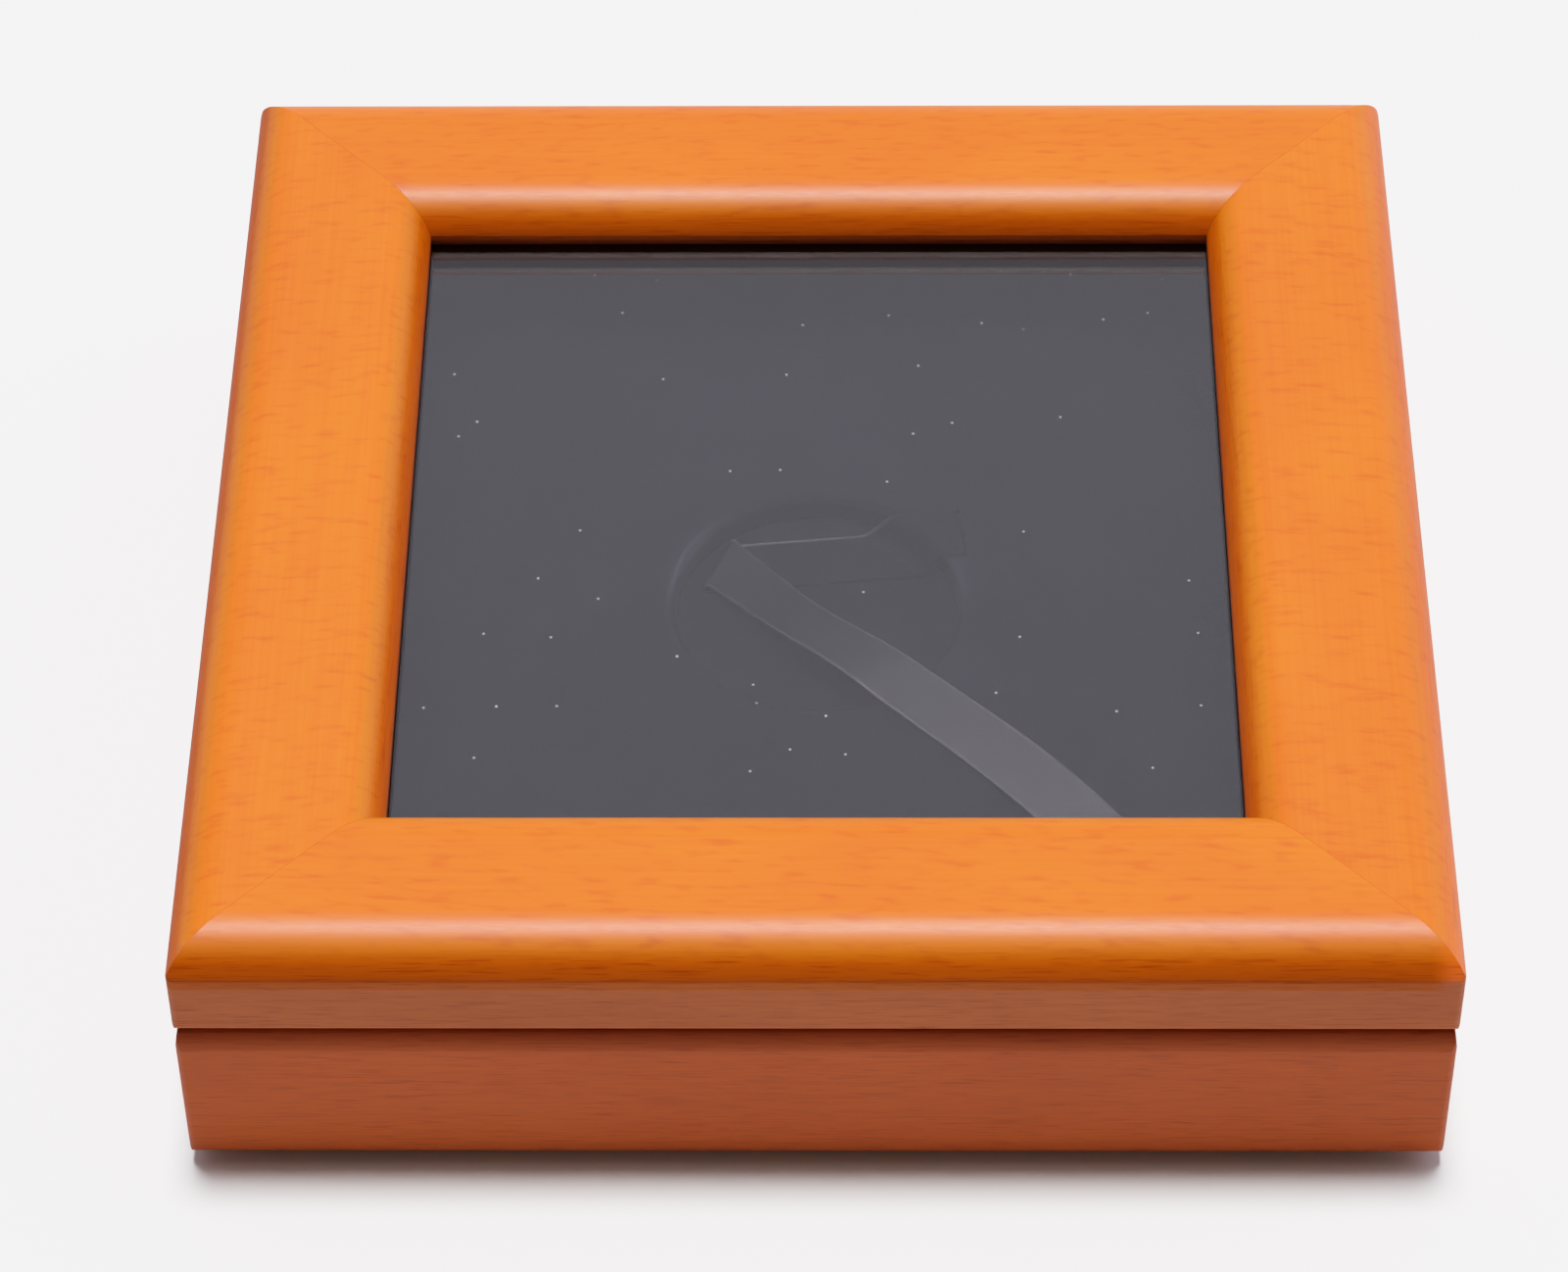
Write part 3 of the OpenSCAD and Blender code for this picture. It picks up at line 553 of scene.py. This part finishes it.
def ribbon_rows(top):
    """The lane surface of the lifting ribbon, rows along it and lanes across it, in mm. It comes up
    out of its slit, lies across the recess, turns half round its fold and runs out over the front rim
    to a slow wave and a lifted end."""
    floor = top - RECESS_DEPTH
    # In mm: the fold's height, how far the ribbon rolls over on its way to the rim, and its free part's
    # wave, lifted end and sideways bow
    fold_h, over_roll, wave_h, lift_h, bow = 0.9, 0.9, 1.0, 0.8, 1.0
    fold_turn, tail_dir = math.radians(68), math.radians(-48)
    tail_l = (TAIL_GAP - INNER_D / 2 - RIBBON_LEAVE[1]) / math.sin(tail_dir)
    fold_z = floor + RIBBON_LIFT + RIBBON_T
    back_dir = heading(RIBBON_SLIT, RIBBON_FOLD)
    front_dir = heading(RIBBON_FOLD, RIBBON_LEAVE)
    square_on = math.pi / 2
    lanes = np.linspace(-1, 1, 17)[None, :]

    def drape(x, y):
        """The velvet under the ribbon: the recess's floor, and up over its rim on the right."""
        over_rim = smooth(0.85 * RECESS_R, RECESS_R, np.hypot(x, y))
        on_right = smooth(-0.1 * RECESS_R, 0.35 * RECESS_R, x)
        return floor + RIBBON_LIFT + RECESS_DEPTH * over_rim * on_right

    def across(p, turn, skew):
        """The lanes through p along turn; skew is turn against the ribbon's own run."""
        half = lanes * RIBBON_W / 2 / np.sin(skew)
        return p[0] + half * np.cos(turn), p[1] + half * np.sin(turn)

    def between(start, end, t):
        """The points at shares t of the way from start to end."""
        return blend(start[0], end[0], t), blend(start[1], end[1], t)

    # Up through the slit, upright
    down = RECESS_DEPTH * np.linspace(0.75, 0.25, 6)[:-1, None]
    x, y = across(RIBBON_SLIT, back_dir + square_on, square_on)
    parts = [grid_points(x, y, top - down)]

    # Across the recess to the fold, draped over rim and floor
    t = np.linspace(0, 1, 57)[:-1, None]
    turn = blend(back_dir + square_on, fold_turn - math.pi, smooth(0.75, 1, t))
    x, y = across(between(RIBBON_SLIT, RIBBON_FOLD, t), turn, turn - back_dir)
    parts.append(grid_points(x, y, drape(x, y) + RIBBON_T))

    # Half round the fold
    bend = np.linspace(0, math.pi, 15)[:, None]
    x, y = across(RIBBON_FOLD, fold_turn - math.pi, fold_turn - math.pi - back_dir)
    out = fold_h / 2 * np.sin(bend)
    parts.append(grid_points(x - out * math.sin(fold_turn), y + out * math.cos(fold_turn),
                             fold_z + fold_h / 2 * (1 - np.cos(bend))))

    # Back over itself and up to the front rim, rolling over a little
    t = np.linspace(0, 1, 57)[1:-1, None]
    turn = blend(fold_turn - math.pi, front_dir - square_on, smooth(0, 0.35, t))
    x, y = across(between(RIBBON_FOLD, RIBBON_LEAVE, t), turn, front_dir - turn)
    rise = blend(fold_h + RIBBON_T, RECESS_DEPTH, smooth(0.3, 0.95, t)) - RIBBON_T
    z = fold_z + rise + lanes * over_roll * np.sin(math.pi * t)
    parts.append(grid_points(x, y, np.maximum(z, drape(x, y))))

    # Out over the velvet: bowed sideways, with one wave and a lifted end
    t = np.linspace(0, 1, 64)[:, None]
    side = 4 * bow * t * (1 - t)
    middle = (RIBBON_LEAVE[0] + tail_l * t * math.cos(tail_dir) - side * math.sin(tail_dir),
              RIBBON_LEAVE[1] + tail_l * t * math.sin(tail_dir) + side * math.cos(tail_dir))
    bowed = tail_dir + np.arctan(4 * bow * (1 - 2 * t) / tail_l)
    x, y = across(middle, blend(front_dir, bowed, smooth(0, 0.25, t)) - square_on, square_on)
    wave = wave_h * (1 - np.cos(2 * math.pi * t)) / 2 + lift_h * smooth(0.8, 1, t)
    parts.append(grid_points(x, y, top + RIBBON_LIFT + wave * (1 - 0.4 * lanes)))
    return np.concatenate(parts)


def woven_ribbon(name, top, body, material):
    """The ribbon as a closed skin: its lane surface, and the same surface pushed along its face normal
    by the thickness, a little more at the two selvedges. Returns the piece and its length in mm."""
    lane = ribbon_rows(top)
    normal = np.cross(np.gradient(lane, axis=1), np.gradient(lane, axis=0))
    normal /= np.linalg.norm(normal, axis=-1, keepdims=True)
    across = np.linspace(-1, 1, lane.shape[1])
    thick = RIBBON_T * (0.92 + 0.16 * smooth(0.82, 0.92, abs(across)))
    ring = np.concatenate([lane + normal * thick[None, :, None], lane[:, ::-1]], axis=1)
    rows, lanes = ring.shape[:2]
    steps = np.linalg.norm(np.diff(lane[:, lane.shape[1] // 2], axis=0), axis=-1)
    length = np.concatenate([[0], np.cumsum(steps)])
    u = np.concatenate([(across + 1) / 2, (across + 3) / 2])
    uv = grid_points(u[None, :], length[:, None] * MM)
    caps = [list(range(lanes)), list(range((rows - 1) * lanes, rows * lanes))]
    faces = grid_faces(rows, lanes, False, True) + caps
    return new_piece(name, ring, faces, body, material, uv), float(length[-1])


def slotted_heads(name, centres, z, up, body, material):
    """Slotted countersunk screws on a polar grid: the head is flat, falls off at the rim, and is lower
    by the slot's depth wherever a point lies within half a slot's width of the slot's line. Below it
    the cone draws in to the shank. up is 1 where heads look up, -1 where they look down."""
    angle = full_turn(72)
    head_rows, slot_soft = 8, 0.05
    # The profile from the head's middle to the shank's foot: parts of the head's radius, and mm down
    r = np.array([0, 0.15, 0.3, 0.5, 0.7, 0.85, 0.95, 1.0, 0.97, 0.75, 0.53, 0.53, 0])[:, None]
    depth = np.array([0, 0, 0, 0, 0, 0, 0.01, 0.06, 0.12, 0.5, 0.9, 8, 8])[:, None]
    in_head = np.arange(len(r))[:, None] < head_rows
    x, y = SCREW_R * r * np.cos(angle), SCREW_R * r * np.sin(angle)
    points, faces = [], []
    for number, (cx, cy) in enumerate(centres):
        turn = math.radians(35 + 67 * number)
        off = abs(y * math.cos(turn) - x * math.sin(turn))
        cut = SLOT_DEPTH * (1 - smooth(SLOT_W / 2 - slot_soft, SLOT_W / 2 + slot_soft, off))
        screw = grid_points(cx + x, cy + y, z - up * np.maximum(depth, np.where(in_head, cut, 0)))
        quads = np.array(grid_faces(*screw.shape[:2], False, True)) + number * x.size
        points.append(screw.reshape(-1, 3))
        faces += quads.tolist()
    return new_piece(name, np.concatenate(points), faces, body, material, flat_shaded=True)


# Materials on the CAD nodes

boards = {
    f"{half}_{side}": stained_beech(f"beech_{half}_{side}_orange_stain", turn, roll, shift, fleck_turn,
                                    stain, painted_shades, half == "base_side")
    for half, stain, painted_shades in (("lid_rail", LID_STAIN, LID_PAINTED_SHADES),
                                 ("base_side", BASE_STAIN, BASE_PAINTED_SHADES))
    for side, turn, roll, shift, fleck_turn in (("front", 0, 14, 0.31, -3), ("back", 0, -17, 0.83, 3),
                                                ("left", 90, 5, 1.27, 5), ("right", 90, -9, 1.71, -4))}
ply, enamel, glass = birch_ply(), black_bead_paint(), float_glass()
brass_leaf = drawn_brass("brass_hinge_drawn", 0.32, 0)
brass_screw = drawn_brass("brass_screw_turned", 0.28, 90)
velvet = black_velvet("black_cotton_velvet_board", 0.4)
velvet_floor = black_velvet("black_cotton_velvet_recess", 1.9)
board_brown, riser_brown = fibreboard("fibreboard_insert", 0.2), fibreboard("fibreboard_riser", 0.6)

finishes = {**boards, "lid_splines": ply, "base_splines": ply, "base_panel": ply, "glass_pane": glass,
            **{f"glazing_bead_{side}": enamel for side in ("front", "back", "left", "right")},
            **{f"hinge_leaf_{half}_{side}": brass_leaf
               for half in ("lid", "base") for side in ("left", "right")},
            "hinge_pin_left": brass_screw, "hinge_pin_right": brass_screw,
            "insert_riser": riser_brown, "insert_board": board_brown}
for node, finish in finishes.items():
    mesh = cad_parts[node].data
    mesh.materials.clear()
    mesh.materials.append(finish)

# Soft pieces and screws

insert_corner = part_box("insert_velvet")[1] / MM
insert_half, insert_top = insert_corner.x, insert_corner.z
recess_floor = insert_top - RECESS_DEPTH

# The velvet's flat size takes in the sides that it is turned down over. Its slit runs square to the
# ribbon, from just over the recess's floor to above the velvet
velvet_piece = recessed_velvet("velvet_over_board", insert_half, recess_floor, insert_top, "base",
                               velvet)
cut_slit(velvet_piece, RIBBON_SLIT, heading(RIBBON_SLIT, RIBBON_FOLD) + math.pi / 2,
         RIBBON_W + 2 * SLIT_PLAY, RIBBON_T + 2 * SLIT_PLAY, recess_floor + 0.5, insert_top + 2)
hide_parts("insert_velvet")

floor_piece = laid_sheet("velvet_in_recess", insert_half, insert_half, 0.6, recess_floor - VELVET_T,
                         recess_floor, VELVET_T / 2, "base", velvet_floor)
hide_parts("recess_velvet")

ribbon_piece, ribbon_l = woven_ribbon("lifting_ribbon", insert_top, "base",
                                      satin_ribbon())
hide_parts("lift_ribbon")

felt_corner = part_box("base_felt")[1] / MM
felt_piece = laid_sheet("felt_underside", felt_corner.x, felt_corner.y, 8.0, 0.0, felt_corner.z, 0.5,
                        "base", black_felt())
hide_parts("base_felt")

# The lid's screws look down in the closed case, the base's look up
for half, up in (("lid", -1), ("base", 1)):
    node = f"{half}_hinge_screws"
    low, high = (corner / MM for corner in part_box(node))
    centres = [(side * (HINGE_X + end * SCREW_X), (low.y + high.y) / 2)
               for side in (-1, 1) for end in (-1, 1)]
    screws = slotted_heads(f"{half}_screws_slotted", centres, high.z if up == 1 else low.z, up, half,
                           brass_screw)
    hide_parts(node)


# Camera, floor and light

def add_camera():
    """The photograph's camera: yawed about Z, pitched down, then rolled about its own line of sight."""
    yaw, pitch, roll = (math.radians(a) for a in (CAMERA_YAW, CAMERA_PITCH, CAMERA_ROLL))
    ahead = Vector((math.sin(yaw) * math.cos(pitch), math.cos(yaw) * math.cos(pitch),
                    -math.sin(pitch)))
    right = Vector((math.cos(yaw), -math.sin(yaw), 0))
    up = right.cross(ahead)
    right, up = (right * math.cos(roll) + up * math.sin(roll),
                 up * math.cos(roll) - right * math.sin(roll))
    camera = bpy.data.objects.new("camera", bpy.data.cameras.new("camera"))
    bpy.context.scene.collection.objects.link(camera)
    turned = Matrix((right, up, -ahead)).transposed().to_4x4()
    camera.matrix_world = Matrix.Translation(CAMERA_AT) @ turned
    camera.data.sensor_fit = "HORIZONTAL"
    camera.data.sensor_width = SENSOR_MM
    camera.data.lens = FOCAL_PX * SENSOR_MM / FRAME_PX
    camera.data.clip_start, camera.data.clip_end = 0.01, 50
    bpy.context.scene.camera = camera


def add_floor():
    """A plain pale table top at the height the case stands on. It is greyer for the light that it
    throws back, so that the upright faces come out as dark as in the photograph."""
    laminate, tree, shader = new_material("white_table_laminate", {
        "Base Color": linear("#ECEBEC"), "Roughness": 0.6, "IOR": 1.45, "Specular IOR Level": 0.1})
    feed(shader, {"Base Color": add(tree, "mix", add(tree, "camera ray"), linear("#AEAEAE"),
                                    linear("#ECEBEC"))})
    mesh = bpy.data.meshes.new("floor")
    corners = [(x * FLOOR_HALF, y * FLOOR_HALF, 0) for x, y in ((-1, -1), (1, -1), (1, 1), (-1, 1))]
    mesh.from_pydata(corners, [], [(0, 1, 2, 3)])
    mesh.materials.append(laminate)
    floor = bpy.data.objects.new("floor", mesh)
    bpy.context.scene.collection.objects.link(floor)


def add_lamp(name, energy, width, lean, glossy):
    """A soft lamp high over the case, width degrees across, leaning lean degrees from upright. One lights
    matt surfaces and casts the shadow, and one is what the satin lacquer mirrors."""
    lamp = bpy.data.lights.new(name, "SUN")
    lamp.energy, lamp.angle = energy, math.radians(width)
    holder = bpy.data.objects.new(name, lamp)
    holder.rotation_euler = (math.radians(lean), 0, 0)
    holder.visible_glossy, holder.visible_diffuse = glossy, not glossy
    bpy.context.scene.collection.objects.link(holder)


def add_studio():
    """Soft studio light as a surround: a white sweep behind the case, brighter on its right, and a dark,
    warm room on the camera's side."""
    world = bpy.data.worlds.new("studio")
    bpy.context.scene.world = world
    world.use_nodes = True
    tree = world.node_tree
    way = add(tree, "direction")
    right, back = add(tree, "x", way), add(tree, "y", way)
    beside = add(tree, "multiply", add(tree, "range", right, -0.7, -0.35, LEFT_LIGHT, 1),
                 add(tree, "range", right, 0.35, 0.7, 1, RIGHT_LIGHT))
    sweep = add(tree, "multiply", beside,
                add(tree, "range", back, -0.25, 0.25, ROOM_LIGHT, BACK_LIGHT))
    feed(tree.nodes["Background"], {
        "Strength": add(tree, "choose", add(tree, "camera ray"), sweep, BACKDROP),
        "Color": add(tree, "mix", add(tree, "range", back, -0.25, 0.25), linear("#FFDCC4"),
                     linear("#F4EFFF"))})


def develop():
    """Tones like the photograph's: each channel of light L shows as 1 - exp(-L), so a bright channel
    levels off first, and the orange wood turns yellower where it is bright."""
    view = bpy.context.scene.view_settings
    view.view_transform = "Standard"
    view.use_curve_mapping = True
    view.curve_mapping.white_level = (FILM_RANGE,) * 3
    points = view.curve_mapping.curves[3].points
    points[-1].location = (1, 1 - math.exp(-FILM_RANGE))
    for light in FILM_POINTS:
        points.new(light / FILM_RANGE, 1 - math.exp(-light))
    view.curve_mapping.update()


add_camera()
add_floor()
add_lamp("overhead_lamp", energy=7.2, width=12.0, lean=-7.0, glossy=False)
add_lamp("overhead_gloss", energy=8.5, width=16.0, lean=0.5, glossy=True)
add_studio()
develop()
